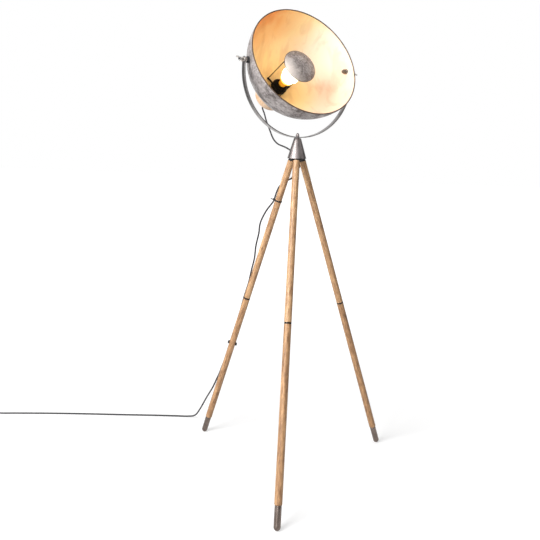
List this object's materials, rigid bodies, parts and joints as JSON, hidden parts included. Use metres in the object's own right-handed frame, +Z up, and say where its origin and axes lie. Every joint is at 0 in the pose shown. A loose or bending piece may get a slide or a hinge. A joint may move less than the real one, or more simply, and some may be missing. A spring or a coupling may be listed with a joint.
{
  "type": "tripod spotlight floor lamp",
  "caption": "Floor lamp on a wooden tripod with a deep metal spot shade hung in a swivelling yoke, a reflector dish before the bulb, a wooden rear cap and a mains cord.",
  "frame": {"origin": "point of the floor under the middle of the hub", "axes": "+Z up; -Y towards the front leg; +X to the right of a viewer who faces the front leg"},
  "size_m": [1.5994, 0.6678, 1.4979],
  "materials": {
    "satin_steel": "satin, fine brushing",
    "patinated_zinc": "matt cloudy patina",
    "leg_wood": "satin oil",
    "cap_wood": "matt, pale",
    "black_metal": "satin black",
    "polished_nickel": "polished nickel",
    "plain_steel": "plain zinc plated",
    "black_plastic": "matt",
    "black_rubber": "matt",
    "clear_glass": "clear, warm",
    "cap_brass": "plain",
    "cord_sheath": "matt grey black"
  },
  "bodies": {
    "stand": {"hub_cone": "satin_steel", "hub_block": "black_metal", "centre_bolt": "plain_steel", "yoke_washers": "polished_nickel", "dome_nut": "polished_nickel", "hub_lock_nut": "plain_steel", "leg_studs": "plain_steel", "leg_collars": "black_metal", "upper_leg_front": "leg_wood", "upper_leg_left": "leg_wood", "upper_leg_right": "leg_wood", "leg_joint_rings": "black_metal", "leg_joint_studs": "plain_steel", "lower_leg_front": "leg_wood", "lower_leg_left": "leg_wood", "lower_leg_right": "leg_wood", "foot_front": "polished_nickel", "foot_left": "polished_nickel", "foot_right": "polished_nickel", "cable_tie": "black_plastic", "cable_clip": "black_plastic", "cord_leg_stretch": "cord_sheath", "cord_coil": "cord_sheath", "switch_base": "black_plastic", "switch_cover": "black_plastic", "switch_spring": "plain_steel", "plug_body": "black_plastic", "plug_pins": "polished_nickel"},
    "yoke_frame": {"yoke": "satin_steel", "cord_hub_stretch": "cord_sheath"},
    "head": {"shade": "patinated_zinc", "rear_cap": "cap_wood", "threaded_tube": "polished_nickel", "tube_nuts": "polished_nickel", "cord_grip": "black_plastic", "stay_plate": "black_metal", "stay_rods": "black_metal", "reflector_dish": "patinated_zinc", "lamp_holder": "black_plastic", "bulb_glass": "clear_glass", "bulb_base": "cap_brass", "pivot_studs": "plain_steel", "pivot_nuts": "black_metal", "pivot_washers": "polished_nickel", "pivot_pads": "black_rubber", "cord_head_stretch": "cord_sheath"},
    "left_wing_nut": {"wing_nut_left": "polished_nickel"},
    "right_wing_nut": {"wing_nut_right": "polished_nickel"},
    "foot_button": {"switch_button": "black_plastic"}
  },
  "joints": [
    {"name": "yoke_pan", "type": "hinge", "parent": "stand", "child": "yoke_frame", "pos_m": [0, 0, 1.0695], "axis": [0, 0, 1], "range_deg": [-45, 45], "deforming": ["cord_hub_stretch"]},
    {"name": "head_tilt", "type": "hinge", "parent": "yoke_frame", "child": "head", "pos_m": [0, 0, 1.3045], "axis": [-0.8171, -0.5764, 0], "range_deg": [-20, 40], "deforming": ["cord_head_stretch"]},
    {"name": "left_wing_turn", "type": "hinge", "parent": "head", "child": "left_wing_nut", "pos_m": [-0.17618, -0.12428, 1.3045], "axis": [-0.8171, -0.5764, 0], "range_deg": [-90, 90]},
    {"name": "right_wing_turn", "type": "hinge", "parent": "head", "child": "right_wing_nut", "pos_m": [0.17618, 0.12428, 1.3045], "axis": [0.8171, 0.5764, 0], "range_deg": [-90, 90]},
    {"name": "button_press", "type": "slide", "parent": "stand", "child": "foot_button", "axis": [0, 0, -1], "range_m": [0, 0.0025], "stiffness_N_per_m": 600, "springref_m": -0.002, "deforming": ["switch_spring"]}
  ]
}
